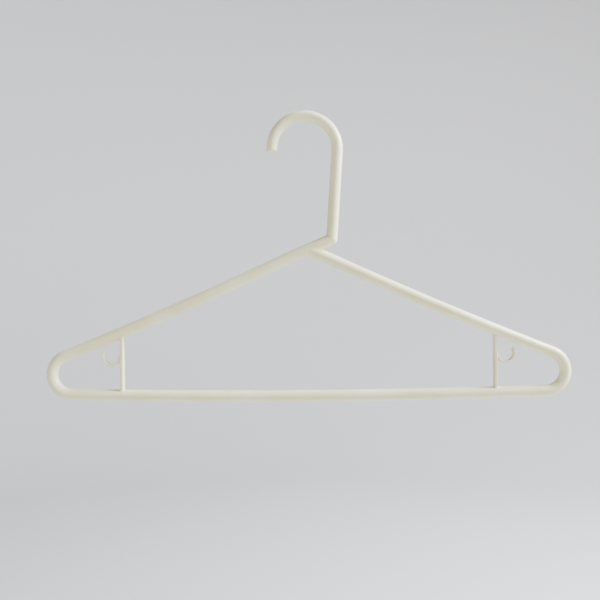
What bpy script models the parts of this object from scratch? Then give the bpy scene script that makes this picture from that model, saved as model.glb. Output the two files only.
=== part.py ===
"""Tubular plastic clothes hanger with two strap hooks. Metres, +Z up, +X along the hanger, +Y through it.

The hanger is one moulding. Here it is divided into its tubes and ribs, each a closed solid that keeps a narrow
gap to its neighbours. The origin is the hook's seat: the highest point inside the hook, where a rail carries it.
Sizes are first given from the hanger's middle and from its bar's two ends, then moved to the seat by place().
"""

import math

import bmesh
import bpy
from mathutils import Vector

# Driving dimensions.
SPAN = 0.420  # outer width, end to end
TUBE = 0.0090  # outside diameter of every tube
SHOULDER_SLOPE = math.radians(23.2)
END_BEND_RADIUS = 0.016  # centreline
BAR_SAG = 0.0026  # how far the bar's middle lies below its ends
ARM_SAG = 0.0014  # how far each arm's middle lies inside the straight line
HOOK_RADIUS = 0.0262  # centreline of the bow
HOOK_HEIGHT = 0.1953  # the bow's centre above the bar's ends
HOOK_OFFSET = -0.0020  # the bow's centre from the hanger's middle
HOOK_TIP_ANGLE = math.radians(185)
TIP_TAPER = 0.93  # the tip's diameter as a share of the tube's
TIP_TAPER_LENGTH = 0.018
TIP_ROUNDING = 0.0014
SHANK_LEAN = math.radians(4.0)  # from the vertical
NECK_REACH = 0.016  # from the apex along each arm
RIB_THICKNESS = 0.0024
RIB_DEPTH = 0.0060
BRACE_OFFSET = 0.1495  # from the hanger's middle
STRAP_HOOK_RADIUS = 0.0070  # centreline
STRAP_HOOK_HEIGHT = 0.0304  # its centre above the bar's ends
STRAP_HOOK_THICKNESS = 0.0020
STRAP_HOOK_DEPTH = 0.0050
STRAP_HOOK_START = math.radians(-8)  # on the brace's side, from the horizontal
STRAP_HOOK_RISE = math.radians(27)  # of the tip above the horizontal
RIB_EDGE = 0.0004  # rounding of the ribs' edges
GAP = 0.0003  # between neighbouring solids

# Resolution.
TUBE_BEVEL_RESOLUTION = 6
RUN_STEPS = 12
ARC_STEP = math.radians(7.5)
ARC_LEAD = 0.005  # share of an arc

# Places that follow from them, from the hanger's middle and the bar's ends.
END_BEND_OFFSET = (SPAN - TUBE) / 2 - END_BEND_RADIUS
APEX_HEIGHT = (
    END_BEND_RADIUS + END_BEND_RADIUS / math.cos(SHOULDER_SLOPE) + END_BEND_OFFSET * math.tan(SHOULDER_SLOPE)
)
SEAT_HEIGHT = HOOK_HEIGHT + HOOK_RADIUS - TUBE / 2
BAR_END_SLOPE = 2 * BAR_SAG / END_BEND_OFFSET
ARM_END_SLOPE = SHOULDER_SLOPE - 4 * ARM_SAG * math.cos(SHOULDER_SLOPE) / END_BEND_OFFSET

PLASTIC_COLOUR = (0.80, 0.78, 0.66, 1.0)
PLASTIC_ROUGHNESS = 0.38


def place(x, z):
    """A point of the hanger's middle plane, in the frame whose origin is the hook's seat."""
    return Vector((x - HOOK_OFFSET, 0.0, z - SEAT_HEIGHT))


def direction(angle):
    return Vector((math.cos(angle), 0.0, math.sin(angle)))


def arc(centre, radius, start, end):
    """Points along an arc in the XZ plane. Its first and last steps are short, so a tube along it ends square."""
    steps = max(2, round(abs(end - start) / ARC_STEP))
    shares = [0.0, ARC_LEAD, *(i / steps for i in range(1, steps)), 1.0 - ARC_LEAD, 1.0]
    return [centre + radius * direction(start + (end - start) * t) for t in shares]


def bowed_run(start, end, sag, towards):
    """Points from start to end along a parabola whose middle lies sag off the straight line."""
    shares = [i / RUN_STEPS for i in range(RUN_STEPS + 1)]
    return [start.lerp(end, t) + towards * sag * 4 * t * (1 - t) for t in shares]


def shortened(points, at_start=GAP / 2, at_end=GAP / 2):
    """The same path with a length taken off its ends."""
    first = points[0] + (points[1] - points[0]).normalized() * at_start
    last = points[-1] + (points[-2] - points[-1]).normalized() * at_end
    return [first, *points[1:-1], last]


def clear_scene():
    for obj in list(bpy.data.objects):
        bpy.data.objects.remove(obj)


def new_collection(name):
    collection = bpy.data.collections.new(name)
    bpy.context.scene.collection.children.link(collection)
    return collection


def plastic(name):
    material = bpy.data.materials.new(f"{name}_plastic")
    material.use_nodes = True
    shader = material.node_tree.nodes["Principled BSDF"]
    shader.inputs["Base Color"].default_value = PLASTIC_COLOUR
    shader.inputs["Roughness"].default_value = PLASTIC_ROUGHNESS
    shader.inputs["Metallic"].default_value = 0.0
    return material


def add_object(name, data, location, collection):
    obj = bpy.data.objects.new(name, data)
    obj.location = location
    obj.parent = hanger
    collection.objects.link(obj)
    if collection is parts:
        data.materials.append(plastic(name))
    else:
        obj.hide_render = True
        obj.display_type = "WIRE"
    return obj


def tube(name, points, collection, diameter=TUBE, radii=None):
    """A round tube, filled at both ends, along a path. The object's origin is at the path's start."""
    curve = bpy.data.curves.new(name, "CURVE")
    curve.dimensions = "3D"
    curve.bevel_depth = diameter / 2
    curve.bevel_resolution = TUBE_BEVEL_RESOLUTION
    curve.use_fill_caps = True
    spline = curve.splines.new("POLY")
    spline.points.add(len(points) - 1)
    for i, point in enumerate(points):
        spline.points[i].co = (*(point - points[0]), 1.0)
        spline.points[i].radius = radii[i] if radii else 1.0
    return add_object(name, curve, points[0], collection)


def as_mesh(obj):
    """Replaces a curve object by a closed mesh object of the same name and place."""
    name, collection = obj.name, obj.users_collection[0]
    graph = bpy.context.evaluated_depsgraph_get()
    mesh = bpy.data.meshes.new_from_object(obj.evaluated_get(graph))
    location, curve = obj.location.copy(), obj.data
    bpy.data.objects.remove(obj)
    bpy.data.curves.remove(curve)
    shape = bmesh.new()
    shape.from_mesh(mesh)
    bmesh.ops.remove_doubles(shape, verts=shape.verts, dist=1e-6)
    shape.to_mesh(mesh)
    shape.free()
    mesh.name = name
    mesh.materials.clear()
    solid = add_object(name, mesh, location, collection)
    mesh.shade_smooth()
    mesh.set_sharp_from_angle(angle=math.radians(35))
    return solid


def trim(obj, point, normal):
    """Takes away the part of a closed mesh that lies beyond a plane, and caps the cut."""
    shape = bmesh.new()
    shape.from_mesh(obj.data)
    everything = shape.verts[:] + shape.edges[:] + shape.faces[:]
    cut = bmesh.ops.bisect_plane(
        shape, geom=everything, plane_co=point - obj.location, plane_no=normal, clear_outer=True
    )
    rim = [item for item in cut["geom_cut"] if isinstance(item, bmesh.types.BMEdge)]
    bmesh.ops.contextual_create(shape, geom=rim)
    bmesh.ops.recalc_face_normals(shape, faces=shape.faces)
    shape.to_mesh(obj.data)
    shape.free()


def boolean(obj, other, operation):
    modifier = obj.modifiers.new(f"{operation.lower()}_{other.name}", "BOOLEAN")
    modifier.operation = operation
    modifier.object = other


def round_edges(obj, width):
    modifier = obj.modifiers.new("rounded_edges", "BEVEL")
    modifier.width = width
    modifier.segments = 2
    modifier.limit_method = "ANGLE"
    modifier.angle_limit = math.radians(50)


def box(name, low, high, collection):
    """A box between two corners, its origin at its centre."""
    bpy.ops.mesh.primitive_cube_add(size=1)
    cube = bpy.context.active_object
    mesh = cube.data
    bpy.data.objects.remove(cube)
    mesh.name = name
    for vertex in mesh.vertices:
        vertex.co = Vector(a * b for a, b in zip(vertex.co, high - low))
    return add_object(name, mesh, (low + high) / 2, collection)


def tip_radii(points):
    """The bow's radius at each point, as a share: a slow taper to the tip, then a rounded end."""
    shares = []
    for point in points:
        length = (point - points[0]).length
        taper = min(1.0, TIP_TAPER + (1 - TIP_TAPER) * length / TIP_TAPER_LENGTH)
        inside = max(0.0, TIP_ROUNDING - length)
        drop = TIP_ROUNDING - math.sqrt(TIP_ROUNDING**2 - inside**2)
        shares.append(taper - drop / (TUBE / 2))
    return shares


def build_hook():
    """The bow from its tip to the shank, and the straight shank down to the mitre at the neck."""
    centre = place(HOOK_OFFSET, HOOK_HEIGHT)
    bow = arc(centre, HOOK_RADIUS, HOOK_TIP_ANGLE, -SHANK_LEAN)
    steps = [TIP_ROUNDING * share / HOOK_RADIUS for share in (0.0, 0.06, 0.25, 0.55, 1.0)]
    rounded_tip = [centre + HOOK_RADIUS * direction(HOOK_TIP_ANGLE - step) for step in steps]
    path = shortened([*rounded_tip, *bow[2:]], at_start=0.0)
    tube("hook_bow", path, parts, radii=tip_radii(path))

    top, down = bow[-1], direction(-math.pi / 2 - SHANK_LEAN)
    shank = tube("hook_shank", [top + down * GAP / 2, corner + down * TUBE], parts)
    trim(as_mesh(shank), corner - mitre_normal * GAP / 2, mitre_normal)


def build_neck():
    """The Y where both arms meet, with the short strip that climbs from it to the shank."""
    uphill, downhill = direction(SHOULDER_SLOPE), direction(-SHOULDER_SLOPE)
    reach = NECK_REACH - GAP / 2
    strip = tube("neck", [apex - uphill * reach, corner + uphill * TUBE], parts)
    strip = as_mesh(strip)
    trim(strip, corner + mitre_normal * GAP / 2, -mitre_normal)
    stub = as_mesh(tube("right_stub", [apex, apex + downhill * reach], cutters))
    boolean(strip, stub, "UNION")


def end_bend_path(side):
    """The centreline round one end, from the bar up to the arm, and tangent to both where they are bowed."""
    start, end = -math.pi / 2 + BAR_END_SLOPE, math.pi / 2 - ARM_END_SLOPE
    if side < 0:
        start, end = math.pi - start, math.pi - end
    return arc(place(side * END_BEND_OFFSET, END_BEND_RADIUS), END_BEND_RADIUS, start, end)


def arm_path(side):
    """The centreline of one arm, from the neck to its end bend."""
    outwards = Vector((side * math.cos(SHOULDER_SLOPE), 0.0, -math.sin(SHOULDER_SLOPE)))
    upwards = Vector((side * math.sin(SHOULDER_SLOPE), 0.0, math.cos(SHOULDER_SLOPE)))
    return bowed_run(apex + outwards * NECK_REACH, end_bend_path(side)[-1], ARM_SAG, -upwards)


def build_brace(name, side, arm):
    """The flat rib between arm and bar. Its ends follow the round of the tubes they meet."""
    middle = side * BRACE_OFFSET
    top = APEX_HEIGHT - BRACE_OFFSET * math.tan(SHOULDER_SLOPE)
    half = Vector((RIB_THICKNESS / 2, RIB_DEPTH / 2, 0.0))
    brace = box(name, place(middle, 0.0) - half, place(middle, top) + half, parts)
    round_edges(brace, RIB_EDGE)
    for path, label in ((arm, "arm"), (bar, "bar")):
        clearance = as_mesh(tube(f"{name}_{label}_clearance", path, cutters, TUBE + 2 * GAP))
        boolean(brace, clearance, "DIFFERENCE")


def strap_hook_outline():
    """The strap hook seen from the front, about its centre, with the brace on its left."""
    inner, outer = (STRAP_HOOK_RADIUS + half for half in (-STRAP_HOOK_THICKNESS / 2, STRAP_HOOK_THICKNESS / 2))
    start, end = math.pi - STRAP_HOOK_START, 2 * math.pi + STRAP_HOOK_RISE
    tip = STRAP_HOOK_RADIUS * direction(end)
    outside = arc(Vector(), outer, start, end)
    round_tip = arc(tip, STRAP_HOOK_THICKNESS / 2, end, end + math.pi)
    return outside + round_tip[1:-1] + arc(Vector(), inner, end, start)


def build_strap_hook(name, side):
    """The open loop for a garment's strap, standing out from the brace's outer face."""
    curve = bpy.data.curves.new(name, "CURVE")
    curve.dimensions = "2D"
    curve.fill_mode = "BOTH"
    curve.extrude = STRAP_HOOK_DEPTH / 2
    outline = strap_hook_outline()
    spline = curve.splines.new("POLY")
    spline.points.add(len(outline) - 1)
    for target, point in zip(spline.points, outline):
        target.co = (side * point.x, point.z, 0.0, 1.0)
    spline.use_cyclic_u = True
    offset = BRACE_OFFSET + RIB_THICKNESS / 2 + STRAP_HOOK_RADIUS
    centre = place(side * offset, STRAP_HOOK_HEIGHT)
    hook = add_object(name, curve, centre, parts)
    hook = as_mesh(hook)
    hook.rotation_euler.x = math.pi / 2
    round_edges(hook, RIB_EDGE)
    reach = Vector((RIB_THICKNESS / 2 + GAP, RIB_DEPTH, 2 * STRAP_HOOK_RADIUS))
    brace_centre = place(side * BRACE_OFFSET, STRAP_HOOK_HEIGHT)
    clearance = box(f"{name}_brace_clearance", brace_centre - reach, brace_centre + reach, cutters)
    boolean(hook, clearance, "DIFFERENCE")


clear_scene()
parts = new_collection("plastic_clothes_hanger")
cutters = new_collection("cutters")
cutters.hide_render = True
hanger = bpy.data.objects.new("hanger", None)
parts.objects.link(hanger)

# The left arm's line runs on uphill past the apex and meets the leaning shank at the corner.
apex = place(0.0, APEX_HEIGHT)
shank_top = place(HOOK_OFFSET, HOOK_HEIGHT) + HOOK_RADIUS * direction(-SHANK_LEAN)
shank_run = math.tan(SHANK_LEAN)
corner_offset = (
    (shank_top.x - apex.x - (shank_top.z - apex.z) * shank_run) / (1 - math.tan(SHOULDER_SLOPE) * shank_run)
)
corner = apex + Vector((corner_offset, 0.0, corner_offset * math.tan(SHOULDER_SLOPE)))
# Half way between the two tubes' directions, pointing from the shank to the neck.
mitre_normal = (direction(-math.pi / 2 - SHANK_LEAN) - direction(SHOULDER_SLOPE)).normalized()

bar = bowed_run(end_bend_path(-1)[0], end_bend_path(1)[0], BAR_SAG, Vector((0.0, 0.0, -1.0)))

build_hook()
build_neck()
tube("bottom_bar", shortened(bar), parts)
for side_name, side_sign in (("left", -1), ("right", 1)):
    side_arm = arm_path(side_sign)
    tube(f"{side_name}_arm", shortened(side_arm), parts)
    tube(f"{side_name}_end_bend", shortened(end_bend_path(side_sign)), parts)
    build_brace(f"{side_name}_brace", side_sign, side_arm)
    build_strap_hook(f"{side_name}_strap_hook", side_sign)
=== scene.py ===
"""Looks of a tubular plastic clothes hanger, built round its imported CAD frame. Metres, +Z up.

The hanger is one moulding, so its whole surface is one smooth distance field: round tubes along the CAD
tubes' centrelines and flat ribs, joined by small fillets, with the mould's parting line and witness marks.
Each CAD node is replaced by its own closed piece of that surface, cut where the nodes meet, and the pieces
show as one moulding.
"""

import itertools
import math

import bmesh
import bpy
import numpy as np
from mathutils import Matrix, Vector


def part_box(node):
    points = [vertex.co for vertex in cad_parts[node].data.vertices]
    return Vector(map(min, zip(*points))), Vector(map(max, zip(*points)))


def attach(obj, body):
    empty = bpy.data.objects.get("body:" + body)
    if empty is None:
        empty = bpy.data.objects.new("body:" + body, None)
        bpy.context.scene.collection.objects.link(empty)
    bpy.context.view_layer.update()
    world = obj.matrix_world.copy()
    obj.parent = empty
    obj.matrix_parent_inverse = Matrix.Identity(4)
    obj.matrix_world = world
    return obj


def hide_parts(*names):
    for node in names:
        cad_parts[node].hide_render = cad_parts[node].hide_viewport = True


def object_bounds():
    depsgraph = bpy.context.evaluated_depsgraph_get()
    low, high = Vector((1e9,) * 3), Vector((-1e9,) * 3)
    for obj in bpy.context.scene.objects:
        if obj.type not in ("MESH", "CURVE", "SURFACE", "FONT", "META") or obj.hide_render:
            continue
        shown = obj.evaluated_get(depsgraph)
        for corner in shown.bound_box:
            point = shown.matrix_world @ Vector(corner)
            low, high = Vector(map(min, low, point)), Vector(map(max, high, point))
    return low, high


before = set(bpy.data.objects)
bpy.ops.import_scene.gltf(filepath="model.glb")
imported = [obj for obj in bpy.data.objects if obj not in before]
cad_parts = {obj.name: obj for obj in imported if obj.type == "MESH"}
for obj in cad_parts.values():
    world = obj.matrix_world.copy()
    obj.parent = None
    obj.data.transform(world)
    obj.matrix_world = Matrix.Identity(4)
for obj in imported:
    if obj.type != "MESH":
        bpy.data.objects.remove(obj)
cad_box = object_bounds()

# Sizes that the CAD gives.
TUBE_RADIUS = (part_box("bottom_bar")[1].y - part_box("bottom_bar")[0].y) / 2
MIDDLE = (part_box("left_end_bend")[0].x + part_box("right_end_bend")[1].x) / 2

# Meshing, in metres and in counts.
TUBE_STEP = 0.0008  # mesh spacing on the tubes
RIB_STEP = 0.00035  # mesh spacing on the ribs
GRID_MARGIN = 4  # steps of empty grid round a node
BRACE_MARGIN = 0.005  # wide enough to hold a strap hook's root
ARC_STEP = math.radians(2.5)
BOW_POINTS = 24
STRAP_HOOK_POINTS = 60
SEAM_REACH = 1.6 * TUBE_RADIUS  # how far round a joint between tubes its cut works
ROOT_REACH = 0.0032  # the same at a strap hook's root
CAP = 1  # marks the faces of a cut until the shading normals are set
SAME_PLACE = 1e-7
TINY = 1e-9

# Moulded detail, in metres.
CORNER_FILLET = 0.0016
FADED = 0.001  # the share of a fillet that is left away from its corner
RIB_FILLET = 0.0012
RIB_EDGE = 0.0005
RIB_STUB = 0.0009  # the part of a brace that belongs to the tube it grows from
RIB_SINK = 0.8 * TUBE_RADIUS  # how far a brace's middle plane goes on into the tubes
RIGHT_ARM_SHORT = 0.0035  # how far short of the apex the right arm's centreline stops
STRAP_HOOK_THICKNESS = 0.0020
STRAP_HOOK_INSET = STRAP_HOOK_THICKNESS / 4
STRAP_HOOK_ROOT = math.radians(230)  # where round its circle a strap hook leaves the brace
TIP_TAPER = 0.93
TIP_TAPER_LENGTH = 0.018
TIP_ROUNDING = 0.0016
RIDGE_HEIGHT = 0.00011  # parting line
RIDGE_WIDTH = 0.00016
RIDGE_ROWS = (-0.00045, -0.00026, -0.00013, 0.0, 0.00013, 0.00026, 0.00045)
RIDGE_UNEVEN = 0.25  # how much of its height the parting line gains and loses along the tubes
RIDGE_WAVES = (310, 270)  # how fast it does so along X and Z, in radians a metre
RIDGE_PHASES = (1.3, 0.4)
MARK_RADIUS = 0.0016  # ejector marks on the back
MARK_DEPTH = 0.00012
NEEDLE_RADIUS = 0.00055  # the little hole on the shank
NEEDLE_DEPTH = 0.0014
NEEDLE_BELOW_TOP = 0.0038
NEEDLE_TURN = math.radians(25)  # from the front towards the outer side


def unit(vector):
    return vector / np.linalg.norm(vector)


def turned(angle):
    """The direction in the XZ plane at an angle from +X."""
    return np.array((math.cos(angle), math.sin(angle)))


# --------------------------------------------------- centrelines, from the CAD nodes


def node_points(node):
    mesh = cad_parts[node].data
    points = np.empty(len(mesh.vertices) * 3, np.float32)
    mesh.vertices.foreach_get("co", points)
    return points.reshape(-1, 3).astype(float)


def front_line(node):
    """Where a CAD tube's front line runs in the XZ plane, which is where its centreline runs."""
    points = node_points(node)
    front = points[points[:, 1] < -0.999 * TUBE_RADIUS]
    return np.unique(np.round(front[:, [0, 2]], 6), axis=0)


def arc_of(node):
    """Centre, radius, and lowest and highest angle of a curved tube's centreline."""
    line = front_line(node)
    matrix = np.column_stack((2 * line, np.ones(len(line))))
    x, z, rest = np.linalg.lstsq(matrix, (line**2).sum(axis=1), rcond=None)[0]
    centre = np.array((x, z))
    around = node_points(node)[:, [0, 2]] - centre
    middle = np.arctan2(*unit((line - centre).mean(axis=0))[::-1])
    angles = (np.arctan2(around[:, 1], around[:, 0]) - middle + math.pi) % (2 * math.pi) - math.pi + middle
    return centre, math.sqrt(rest + centre @ centre), angles.min(), angles.max()


def arc_points(centre, radius, start, end):
    count = max(2, math.ceil(abs(end - start) / ARC_STEP))
    return np.array([centre + radius * turned(a) for a in np.linspace(start, end, count + 1)])


def bowed_points(node):
    """A slightly bowed tube's centreline from left to right, as the parabola through its rings."""
    line = front_line(node)
    line = line[np.argsort(line[:, 0])]
    chord = line[-1] - line[0]
    across = unit(np.array((-chord[1], chord[0])))
    share = (line - line[0]) @ chord / (chord @ chord)
    bow = np.polyfit(share, (line - line[0]) @ across, 2)
    shares = np.linspace(0, 1, BOW_POINTS + 1)
    return np.array([line[0] + t * chord + np.polyval(bow, t) * across for t in shares])


def crossing(a, along_a, b, along_b):
    """The point where two lines in the XZ plane meet."""
    return a + along_a * np.linalg.solve(np.column_stack((along_a, -along_b)), b - a)[0]


bow_centre, bow_radius, bow_end, tip_angle = arc_of("hook_bow")
shank_line = front_line("hook_shank")
shank_top, shank_foot = shank_line[shank_line[:, 1].argmax()], shank_line[shank_line[:, 1].argmin()]
neck_line = front_line("neck")
neck_foot, neck_top = neck_line[neck_line[:, 0].argmin()], neck_line[neck_line[:, 1].argmax()]
uphill = unit(neck_top - neck_foot)
apex = neck_foot + uphill * (MIDDLE - neck_foot[0]) / uphill[0]
corner = crossing(neck_foot, uphill, shank_top, unit(shank_foot - shank_top))

left_arm_line, right_arm_line, bar_line = map(bowed_points, ("left_arm", "right_arm", "bottom_bar"))
left_bend, right_bend = arc_of("left_end_bend"), arc_of("right_end_bend")
downhill = uphill * (1, -1)

hook_path = np.vstack((arc_points(bow_centre, bow_radius, tip_angle, bow_end), shank_top, corner))
tip_end, tip_outwards = hook_path[0], np.array((-math.sin(tip_angle), math.cos(tip_angle)))
hook_path = np.vstack((tip_end + tip_outwards * 2 * TUBE_RADIUS, hook_path))
loop_path = np.vstack((
    corner,
    apex,
    left_arm_line[::-1],
    arc_points(*left_bend),
    bar_line,
    arc_points(*right_bend),
))
# It stops short of the apex, inside the neck, so that its round end shows nowhere.
right_arm_path = np.vstack((right_arm_line[::-1], apex + downhill * RIGHT_ARM_SHORT))


def brace_of(side):
    """The path of a brace's middle plane, with its half thickness and half depth."""
    low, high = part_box(f"{side}_brace")
    middle = (low + high) / 2
    path = np.array(((middle.x, low.z - RIB_SINK), (middle.x, high.z + RIB_SINK)))
    return path, (high.x - low.x) / 2, (high.y - low.y) / 2


def strap_hook_of(side):
    """A strap hook's path from brace to tip, its half thickness and half depth, its circle and its side."""
    low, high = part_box(f"{side}_strap_hook")
    outwards = 1 if side == "right" else -1
    brace_low, brace_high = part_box(f"{side}_brace")
    face = brace_high.x if outwards > 0 else brace_low.x
    far = high.x if outwards > 0 else low.x
    outer = abs(far - face) / 2 + STRAP_HOOK_INSET
    centre = np.array((far - outwards * outer, low.z + outer))
    radius = outer - STRAP_HOOK_THICKNESS / 2
    rise = math.asin((high.z - STRAP_HOOK_THICKNESS / 2 - centre[1]) / radius)
    angles = np.linspace(math.pi, 2 * math.pi + rise, STRAP_HOOK_POINTS)
    path = centre + radius * np.column_stack((outwards * np.cos(angles), np.sin(angles)))
    return path, STRAP_HOOK_THICKNESS / 2, (high.y - low.y) / 2, centre, radius, outwards


braces = {side: brace_of(side) for side in ("left", "right")}
strap_hooks = {side: strap_hook_of(side) for side in ("left", "right")}


# --------------------------------------------------- the moulding's surface, as a distance field


def nearest(points, path):
    """Each point's offset from the nearest place on a path, and how far along the path that place is."""
    best = np.full(len(points), np.inf)
    offset, station = np.zeros_like(points), np.zeros(len(points))
    travelled = 0.0
    for start, end in zip(path[:-1], path[1:]):
        run = end - start
        length = math.hypot(*run)
        share = np.clip((points - start) @ run / length**2, 0.0, 1.0)
        away = points - start - share[:, None] * run
        square = (away**2).sum(axis=1)
        closer = square < best
        best[closer], offset[closer] = square[closer], away[closer]
        station[closer] = travelled + share[closer] * length
        travelled += length
    return offset, station


def smooth_union(a, b, fillet):
    """Two distances and their slopes joined with a fillet, small where the surfaces run side by side."""
    fillet = fillet * np.clip(1.5 - 1.5 * (a[1] * b[1]).sum(axis=-1), 0.01, 1.0)
    share = np.clip(0.5 + 0.5 * (b[0] - a[0]) / fillet, 0.0, 1.0)
    distance = b[0] + share * (a[0] - b[0]) - fillet * share * (1 - share)
    return distance, b[1] + share[..., None] * (a[1] - b[1])


def opposite(a):
    return -a[0], -a[1]


def tube_field(offset, y, radius):
    away = np.stack(np.broadcast_arrays(offset[..., 0], y, offset[..., 1]), axis=-1)
    length = np.maximum(np.linalg.norm(away, axis=-1), TINY)
    return length - radius, away / length[..., None]


def rib_field(offset, y, half_thickness, half_depth):
    """A rib of rectangular section with rounded edges."""
    across = np.maximum(np.linalg.norm(offset, axis=-1), TINY)
    across, deep = np.broadcast_arrays(across, np.abs(y))
    u, v = across - (half_thickness - RIB_EDGE), deep - (half_depth - RIB_EDGE)
    round_u, round_v = np.maximum(u, 0.0), np.maximum(v, 0.0)
    length = np.hypot(round_u, round_v)
    distance = length + np.minimum(np.maximum(u, v), 0.0) - RIB_EDGE
    on_edge = length > TINY
    slope_u = np.where(on_edge, round_u / np.maximum(length, TINY), u > v)
    slope_v = np.where(on_edge, round_v / np.maximum(length, TINY), u <= v)
    scale = slope_u / across
    slope = np.stack((offset[..., 0] * scale, slope_v * np.sign(y), offset[..., 1] * scale), axis=-1)
    return distance, slope


def plane_field(points, point, normal, shape):
    distance = np.broadcast_to((points - point) @ normal, shape).copy()
    slope = np.zeros((*distance.shape, 3))
    slope[..., 0], slope[..., 2] = normal
    return distance, slope


def local(points, place, reach, fillet):
    """A fillet that fades to almost none at a distance from its place."""
    away = np.linalg.norm(points - place, axis=-1) / reach
    return fillet * np.clip(1.5 - 1.5 * away**2, FADED, 1.0)


class Moulding:
    """The field near some points of the XZ plane. What depends on them alone is worked out only once."""

    def __init__(self, points):
        flat = points.reshape(-1, 2)
        self.points = points
        self.near = {}
        for name, path in PATHS.items():
            offset, station = nearest(flat, path)
            self.near[name] = offset.reshape(points.shape), station.reshape(points.shape[:-1])

    def hook(self, y):
        """The hook's tube, thinner towards the tip and cut off square there with a rounded edge."""
        offset, station = self.near["hook"]
        taper = np.clip((station - 2 * TUBE_RADIUS) / TIP_TAPER_LENGTH, 0.0, 1.0)
        tube = tube_field(offset, y, TUBE_RADIUS * (TIP_TAPER + (1 - TIP_TAPER) * taper * (2 - taper)))
        flat_end = plane_field(self.points, tip_end, tip_outwards, tube[0].shape)
        # The plane of the flat end runs on through the shank, where it must not cut.
        far_from_tip = np.broadcast_to(station > 4 * TUBE_RADIUS, tube[0].shape)
        flat_end[0][far_from_tip] = -1.0
        return opposite(smooth_union(opposite(tube), opposite(flat_end), TIP_ROUNDING))

    def rib(self, side, y):
        """A brace with its strap hook."""
        brace = rib_field(self.near[f"{side}_brace"][0], y, *braces[side][1:])
        strap_hook = rib_field(self.near[f"{side}_strap_hook"][0], y, *strap_hooks[side][1:3])
        return smooth_union(brace, strap_hook, RIB_FILLET / 2)

    def __call__(self, y):
        points = self.points
        loop = tube_field(self.near["loop"][0], y, TUBE_RADIUS)
        right_arm = tube_field(self.near["right_arm"][0], y, TUBE_RADIUS)
        # The corner has its fillet on the inner side only: outside it is as round as the tube.
        inner = (points - corner) @ unit(unit(shank_top - corner) - uphill)
        corner_fillet = local(points, corner, 3 * TUBE_RADIUS, CORNER_FILLET)
        corner_fillet = corner_fillet * np.clip(inner / TUBE_RADIUS, FADED, 1.0)
        apex_fillet = local(points, apex, 4 * TUBE_RADIUS, CORNER_FILLET)
        body = smooth_union(loop, self.hook(y), corner_fillet)
        body = smooth_union(body, right_arm, apex_fillet)
        for side in ("left", "right"):
            body = smooth_union(body, self.rib(side, y), RIB_FILLET)
        return body


PATHS = {"hook": hook_path, "loop": loop_path, "right_arm": right_arm_path}
for side in ("left", "right"):
    PATHS[f"{side}_brace"] = braces[side][0]
    PATHS[f"{side}_strap_hook"] = strap_hooks[side][0]


def needle_place():
    """The little round hole's middle on the shank's surface, and the direction out of it."""
    down = unit(shank_foot - shank_top)
    centre = shank_top + down * NEEDLE_BELOW_TOP
    side = np.array((-down[1], down[0]))
    sideways = side * math.sin(NEEDLE_TURN)
    out = np.array((sideways[0], -math.cos(NEEDLE_TURN), sideways[1]))
    return np.array((centre[0], 0.0, centre[1])) + out * TUBE_RADIUS, out


def mark_places():
    """Where the mould's ejector pins pushed on the back, spread along the tubes."""
    spots = [hook_path[len(hook_path) // 2], (shank_top + shank_foot) / 2, apex]
    spread = (
        (left_arm_line, (0.2, 0.6)),
        (right_arm_line, (0.4, 0.8)),
        (bar_line, (0.2, 0.5, 0.8)),
    )
    for line, shares in spread:
        spots += [line[round(share * (len(line) - 1))] for share in shares]
    return np.array(spots)


NEEDLE, NEEDLE_OUT = needle_place()
MARKS = mark_places()


def with_parting_line(points, distance, slope):
    """The field with the fine uneven ridge that runs all round the moulding at y = 0."""
    x, y, z = points.T
    waves = np.sin(RIDGE_WAVES[0] * x + RIDGE_PHASES[0]) * np.sin(RIDGE_WAVES[1] * z + RIDGE_PHASES[1])
    swell = RIDGE_HEIGHT * (1 - RIDGE_UNEVEN + RIDGE_UNEVEN * waves) * np.exp(-((y / RIDGE_WIDTH) ** 2))
    slope = slope.copy()
    slope[:, 1] += swell * 2 * y / RIDGE_WIDTH**2
    return distance - swell, slope


def with_mark(points, distance, slope, spot):
    """The field with the shallow flat that one of the mould's pins left on the back."""
    beyond = np.hypot(*(points[:, [0, 2]] - spot).T) - MARK_RADIUS
    above = (TUBE_RADIUS - MARK_DEPTH) - points[:, 1]
    cut = -np.maximum(beyond, above)
    use = (cut > distance) & (points[:, 1] > 0)
    slope[use] = (0.0, 1.0, 0.0)
    return np.where(use, cut, distance), slope


def with_needle_hole(points, distance, slope):
    """The field with the little blind hole on the shank."""
    away = points - NEEDLE
    height = away @ NEEDLE_OUT
    across = away - height[:, None] * NEEDLE_OUT
    radius = np.maximum(np.linalg.norm(across, axis=1), TINY)
    wall, floor = NEEDLE_RADIUS - radius, height + NEEDLE_DEPTH
    cut = np.minimum(wall, floor)
    use = cut > distance
    slope[use] = np.where((wall < floor)[use, None], -across[use] / radius[use, None], NEEDLE_OUT)
    return np.where(use, cut, distance), slope


def detailed(points, body):
    """The field at points in space, with all the small marks of the mould."""
    distance, slope = with_parting_line(points, *body)
    for spot in MARKS:
        distance, slope = with_mark(points, distance, slope, spot)
    return with_needle_hole(points, distance, slope)


# --------------------------------------------------- meshing


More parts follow.
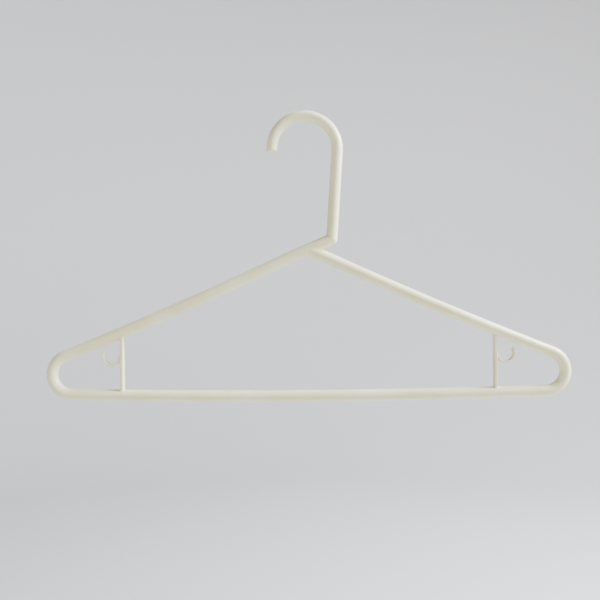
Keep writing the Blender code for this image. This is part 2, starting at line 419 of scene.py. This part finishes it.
def surface_net(inside, low, step):
    """Quads through a grid's cells, one vertex in each cell that the surface passes through."""
    first, last = slice(None, -1), slice(1, None)
    ends = itertools.product((first, last), repeat=3)
    count = sum(inside[end].astype(int) for end in ends)
    mixed = (count > 0) & (count < 8)
    index = np.full(mixed.shape, -1)
    index[mixed] = np.arange(mixed.sum())
    vertices = low + (np.argwhere(mixed) + 0.5) * step
    quads = []
    for axis in range(3):
        here, ahead = [slice(1, -1)] * 3, [slice(1, -1)] * 3
        here[axis], ahead[axis] = first, last
        near, far = inside[tuple(here)], inside[tuple(ahead)]
        u, v = np.eye(3, dtype=int)[(axis + 1) % 3], np.eye(3, dtype=int)[(axis + 2) % 3]
        shift = np.ones(3, dtype=int)
        shift[axis] = 0
        for crossed, order in ((near & ~far, (0, 1, 2, 3)), (~near & far, (3, 2, 1, 0))):
            cell = np.argwhere(crossed) + shift
            ring = [cell - u - v, cell - v, cell, cell - u]
            quads.append(np.column_stack([index[tuple(ring[n].T)] for n in order]))
    return vertices, np.vstack(quads)


def relaxed(vertices, quads):
    """Each vertex moved half way to the middle of its neighbours."""
    total, count = np.zeros_like(vertices), np.zeros(len(vertices))
    for a, b in ((0, 1), (1, 2), (2, 3), (3, 0)):
        for start, end in ((a, b), (b, a)):
            np.add.at(total, quads[:, start], vertices[quads[:, end]])
            np.add.at(count, quads[:, start], 1)
    return (vertices + total / np.maximum(count, 1)[:, None]) / 2


def projected(vertices, detail, rounds=4):
    """The vertices moved onto the surface."""
    for _ in range(rounds):
        body = Moulding(vertices[:, [0, 2]])(vertices[:, 1])
        distance, slope = detailed(vertices, body) if detail else body
        vertices = vertices - distance[:, None] * slope
    return vertices


def rough_surface(low, high, step):
    """An even net over the surface inside a box, before any small detail."""
    axes = [np.arange(a, b + step, step) for a, b in zip(low, high)]
    x, z = np.meshgrid(axes[0], axes[2], indexing="ij")
    field = Moulding(np.stack((x, z), axis=-1)[:, None])(axes[1][None, :, None])[0]
    vertices, quads = surface_net(field < 0, np.array([a[0] for a in axes]), step)
    for _ in range(3):
        vertices = projected(relaxed(vertices, quads), False, 1)
    return projected(vertices, False, 2), quads


def refine(shape, place, reach, cuts):
    """Splits the faces near a place, where a small mark needs them."""
    edges = [e for e in shape.edges if all((v.co - place).length < reach for v in e.verts)]
    if edges:
        bmesh.ops.subdivide_edges(shape, edges=edges, cuts=cuts, use_grid_fill=True)


def slice_through(shape, point, normal, clear, near=math.inf):
    """Cuts the faces near a point with a plane, and drops what is in front of the plane if asked to."""
    faces = [f for f in shape.faces if (f.calc_center_median() - Vector(point)).length < near]
    edges = dict.fromkeys(e for f in faces for e in f.edges)
    verts = dict.fromkeys(v for f in faces for v in f.verts)
    return bmesh.ops.bisect_plane(
        shape,
        geom=[*verts, *edges, *faces],
        dist=SAME_PLACE,
        plane_co=point,
        plane_no=normal,
        clear_outer=clear,
    )["geom_cut"]


def connected_to(start):
    """A vertex and all that it is joined to, in an order that is the same on every run."""
    part, waiting = {start: None}, [start]
    while waiting:
        vertex = waiting.pop()
        for edge in vertex.link_edges:
            other = edge.other_vert(vertex)
            if other not in part:
                part[other] = None
                waiting.append(other)
    return list(part)


def keep_largest_part(shape):
    """Deletes all but the largest connected part."""
    parts, placed = [], set()
    for vertex in shape.verts:
        if vertex not in placed:
            parts.append(connected_to(vertex))
            placed.update(parts[-1])
    parts.sort(key=len)
    for part in parts[:-1]:
        bmesh.ops.delete(shape, geom=part, context="VERTS")


def add_mould_detail(shape):
    """Rows of vertices along the parting line and finer faces at the marks, all moved onto the surface."""
    for y in RIDGE_ROWS:
        slice_through(shape, (0, y, 0), (0, 1, 0), False)
    for x, z in MARKS:
        refine(shape, Vector((x, TUBE_RADIUS, z)), 2 * MARK_RADIUS, 2)
    refine(shape, Vector(NEEDLE), 4 * NEEDLE_RADIUS, 5)
    fine = projected(np.array([v.co for v in shape.verts]), True)
    for vertex, place in zip(shape.verts, fine):
        vertex.co = place


def cut_off(shape, point, outwards, *near):
    """Cuts the piece off at a plane across the XZ plane, and closes it with a flat cap."""
    rim = slice_through(shape, (point[0], 0, point[1]), (outwards[0], 0, outwards[1]), True, *near)
    edges = [item for item in rim if isinstance(item, bmesh.types.BMEdge)]
    for face in bmesh.ops.contextual_create(shape, geom=edges)["faces"]:
        face.material_index = CAP


def make_piece(node, step, cuts, margin):
    """A CAD node's own piece of the moulding, with a (point, outwards) or (point, outwards, reach) a cut."""
    low, high = (np.array(end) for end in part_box(node))
    vertices, quads = rough_surface(low - margin, high + margin, step)
    mesh = bpy.data.meshes.new(f"{node}_moulding")
    mesh.from_pydata(vertices.tolist(), [], quads.tolist())
    shape = bmesh.new()
    shape.from_mesh(mesh)
    add_mould_detail(shape)
    for cut in cuts:
        cut_off(shape, *cut)
    keep_largest_part(shape)
    bmesh.ops.recalc_face_normals(shape, faces=shape.faces)
    shape.to_mesh(mesh)
    shape.free()
    finish_normals(mesh)
    piece = bpy.data.objects.new(mesh.name, mesh)
    bpy.context.scene.collection.objects.link(piece)
    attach(piece, "root")
    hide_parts(node)
    return piece


def finish_normals(mesh):
    """Takes the shading normals from the field, so that neighbouring pieces shade as one. Caps stay flat.

    The caps' own material index has done its work here, and every face then has the one material.
    """
    mesh.polygons.foreach_set("use_smooth", [True] * len(mesh.polygons))
    places = np.array([v.co for v in mesh.vertices])
    slope = detailed(places, Moulding(places[:, [0, 2]])(places[:, 1]))[1]
    slope /= np.maximum(np.linalg.norm(slope, axis=1), TINY)[:, None]
    normals = np.empty((len(mesh.loops), 3))
    for face in mesh.polygons:
        loops = list(face.loop_indices)
        corners = [mesh.loops[i].vertex_index for i in loops]
        normals[loops] = face.normal if face.material_index == CAP else slope[corners]
    mesh.polygons.foreach_set("material_index", [0] * len(mesh.polygons))
    mesh.normals_split_custom_set(normals.tolist())


def seam(first, second):
    """A cut where two CAD tubes meet: the middle of the gap between their nearest centreline points."""
    a, b = front_line(first), front_line(second)
    gaps = np.linalg.norm(a[:, None] - b[None], axis=2)
    i, j = np.unravel_index(gaps.argmin(), gaps.shape)
    return (a[i] + b[j]) / 2, unit(b[j] - a[i]), SEAM_REACH


def tube_cuts(node, *neighbours):
    return [seam(node, neighbour) for neighbour in neighbours]


mitre = unit(unit(shank_foot - shank_top) - uphill)
under = np.array((0.0, -1.0))
# A point on the level plane a little over the bar, where the braces' feet are cut off.
over_bar = bar_line[0] - under * (TUBE_RADIUS + RIB_STUB)


def brace_cuts(side):
    """The cuts at a brace's top and foot, each a little clear of the tube that the brace grows from."""
    downwards = np.array((uphill[1], -uphill[0])) if side == "left" else np.array((-uphill[1], -uphill[0]))
    path = braces[side][0]
    arm = left_arm_line if side == "left" else right_arm_line
    arm_offset = nearest(path[1:], arm)[0][0]
    top = path[1] - arm_offset + downwards * (TUBE_RADIUS + RIB_STUB)
    return (top, -downwards), (over_bar, under)


def strap_hook_cut(side):
    """A square cut through a strap hook's path, where it has left the brace. It faces the brace."""
    *_, centre, radius, outwards = strap_hooks[side]
    across, up = turned(STRAP_HOOK_ROOT)
    radial = np.array((outwards * across, up))
    back = np.array((outwards * up, -across))
    return centre + radial * radius, back


def build_hanger():
    margin = GRID_MARGIN * TUBE_STEP
    shank_cuts = [*tube_cuts("hook_shank", "hook_bow"), (corner, mitre)]
    neck_cuts = [(corner, -mitre), *tube_cuts("neck", "left_arm", "right_arm")]
    pieces = [
        make_piece("hook_bow", TUBE_STEP, tube_cuts("hook_bow", "hook_shank"), margin),
        make_piece("hook_shank", TUBE_STEP, shank_cuts, margin),
        make_piece("neck", TUBE_STEP, neck_cuts, margin),
    ]
    bar_cuts = tube_cuts("bottom_bar", "left_end_bend", "right_end_bend")
    pieces.append(make_piece("bottom_bar", TUBE_STEP, [*bar_cuts, (over_bar, -under)], margin))
    for side in ("left", "right"):
        top, foot = brace_cuts(side)
        root, back = strap_hook_cut(side)
        arm, bend = f"{side}_arm", f"{side}_end_bend"
        ends = tube_cuts(arm, "neck", bend)
        pieces.append(make_piece(arm, TUBE_STEP, [*ends, (top[0], -top[1])], margin))
        pieces.append(make_piece(bend, TUBE_STEP, tube_cuts(bend, arm, "bottom_bar"), margin))
        brace_ends = [top, foot, (root, -back, ROOT_REACH)]
        pieces.append(make_piece(f"{side}_brace", RIB_STEP, brace_ends, BRACE_MARGIN))
        pieces.append(make_piece(f"{side}_strap_hook", RIB_STEP, [(root, back)], GRID_MARGIN * RIB_STEP))
    return pieces


# --------------------------------------------------- material


def ivory_plastic():
    """Ivory plastic with a satin face: soft yellowing, specks of dirt, a fine grain and an uneven sheen."""
    material = bpy.data.materials.new("ivory_plastic")
    material.use_nodes = True
    tree = material.node_tree
    shader = tree.nodes["Principled BSDF"]

    def add(kind, inputs=(), **settings):
        node = tree.nodes.new(kind)
        for name, value in settings.items():
            setattr(node, name, value)
        for socket, value in dict(inputs).items():
            if isinstance(value, bpy.types.NodeSocket):
                tree.links.new(value, node.inputs[socket])
            else:
                node.inputs[socket].default_value = value
        return node

    where = add("ShaderNodeTexCoord").outputs["Object"]
    mottle = add("ShaderNodeTexNoise", {"Vector": where, "Scale": 28.0, "Detail": 3.0})
    tint = add("ShaderNodeValToRGB", {"Fac": mottle.outputs["Fac"]})
    tint.color_ramp.elements[0].position, tint.color_ramp.elements[0].color = 0.30, (0.71, 0.665, 0.37, 1)
    tint.color_ramp.elements[1].position, tint.color_ramp.elements[1].color = 0.70, (0.80, 0.765, 0.50, 1)
    dirt = add("ShaderNodeTexNoise", {"Vector": where, "Scale": 420.0, "Detail": 4.0, "Roughness": 0.7})
    speck = add("ShaderNodeMapRange", {"Value": dirt.outputs["Fac"], "From Min": 0.66, "From Max": 0.74})
    speck.inputs["To Max"].default_value = 0.55
    # A mix node has sockets of the same name for each kind of data, so its colour ones go by number.
    clean, dirty, mixed = 6, 7, 2
    face = add("ShaderNodeMix", {"Factor": speck.outputs["Result"]}, data_type="RGBA")
    tree.links.new(tint.outputs["Color"], face.inputs[clean])
    face.inputs[dirty].default_value = (0.42, 0.37, 0.22, 1)
    tree.links.new(face.outputs[mixed], shader.inputs["Base Color"])

    grain = add("ShaderNodeTexNoise", {"Vector": where, "Scale": 1400.0, "Detail": 2.0})
    waves = add("ShaderNodeTexNoise", {"Vector": where, "Scale": 90.0, "Detail": 1.0})
    fine = add("ShaderNodeBump", {"Height": grain.outputs["Fac"], "Strength": 0.25, "Distance": 0.0001})
    broad = add(
        "ShaderNodeBump",
        {
            "Height": waves.outputs["Fac"],
            "Strength": 0.35,
            "Distance": 0.0008,
            "Normal": fine.outputs["Normal"],
        },
    )
    tree.links.new(broad.outputs["Normal"], shader.inputs["Normal"])

    rough = add("ShaderNodeMapRange", {"Value": waves.outputs["Fac"], "To Min": 0.24, "To Max": 0.44})
    tree.links.new(rough.outputs["Result"], shader.inputs["Roughness"])
    shader.inputs["IOR"].default_value = 1.49
    return material


# --------------------------------------------------- stage, light and camera


def build_stage():
    """A pale round studio floor that sweeps up into a pale wall on every side, far from the hanger."""
    floor_z, radius, top_z, sweep, turns, sweep_steps = -0.75, 2.6, 1.6, 0.9, 96, 12
    profile = [(0.3, floor_z)]
    for i in range(sweep_steps + 1):
        angle = (i / sweep_steps - 1) * math.pi / 2
        away = radius - sweep + sweep * math.cos(angle)
        profile.append((away, floor_z + sweep + sweep * math.sin(angle)))
    profile.append((radius, top_z))
    shape = bmesh.new()
    rings = []
    for away, z in profile:
        around = [turned(2 * math.pi * i / turns) * away for i in range(turns)]
        rings.append([shape.verts.new((x, y, z)) for x, y in around])
    shape.faces.new(rings[0])
    for lower, upper in zip(rings, rings[1:]):
        for i in range(turns):
            j = (i + 1) % turns
            shape.faces.new((lower[i], upper[i], upper[j], lower[j]))
    mesh = bpy.data.meshes.new("studio_floor")
    shape.to_mesh(mesh)
    shape.free()
    mesh.shade_smooth()
    material = bpy.data.materials.new("pale_paper")
    material.use_nodes = True
    shader = material.node_tree.nodes["Principled BSDF"]
    shader.inputs["Base Color"].default_value = (0.60, 0.592, 0.590, 1)
    shader.inputs["Roughness"].default_value = 0.9
    mesh.materials.append(material)
    floor = bpy.data.objects.new("studio_floor", mesh)
    bpy.context.scene.collection.objects.link(floor)


def add_area_light(name, place, target, size, power, colour):
    light = bpy.data.lights.new(name, "AREA")
    light.shape = "SQUARE"
    light.size = size
    light.energy = power
    light.color = colour
    lamp = bpy.data.objects.new(name, light)
    lamp.location = place
    lamp.rotation_euler = (Vector(target) - Vector(place)).to_track_quat("-Z", "Y").to_euler()
    bpy.context.scene.collection.objects.link(lamp)


def build_lights():
    target = (MIDDLE, 0.0, (cad_box[0].z + cad_box[1].z) / 2)
    add_area_light("window", (1.45, -0.08, 0.80), target, 0.7, 195.0, (0.90, 0.94, 1.0))
    add_area_light("room_fill", (-0.3, -2.0, 0.0), target, 1.6, 13.0, (1.0, 0.94, 0.80))
    add_area_light("wall_wash", (1.4, 0.5, 1.3), (1.0, 2.5, 0.3), 1.2, 30.0, (0.93, 0.95, 1.0))
    world = bpy.data.worlds.new("studio")
    world.use_nodes = True
    background = world.node_tree.nodes["Background"]
    background.inputs["Color"].default_value = (0.80, 0.79, 0.75, 1)
    background.inputs["Strength"].default_value = 0.30
    bpy.context.scene.world = world


def build_camera():
    """A frontal view from close by. The camera leans slightly, so the bar rises a little to the right."""
    distance, view_width, lean = 0.52, 0.481, math.radians(-0.49)
    left_of_middle, over_bar_ends = 0.0066, 0.0742
    bar_z = bar_line[[0, -1], 1].mean()
    target = Vector((MIDDLE - left_of_middle, 0.0, bar_z + over_bar_ends))
    data = bpy.data.cameras.new("camera")
    data.sensor_width = 36.0
    data.lens = data.sensor_width * distance / view_width
    camera = bpy.data.objects.new("camera", data)
    camera.matrix_world = (
        Matrix.Translation(target + Vector((0, -distance, 0)))
        @ Matrix.Rotation(math.pi / 2, 4, "X")
        @ Matrix.Rotation(lean, 4, "Z")
    )
    bpy.context.scene.collection.objects.link(camera)
    bpy.context.scene.camera = camera


plastic = ivory_plastic()
for moulded in build_hanger():
    moulded.data.materials.append(plastic)
build_stage()
build_lights()
build_camera()
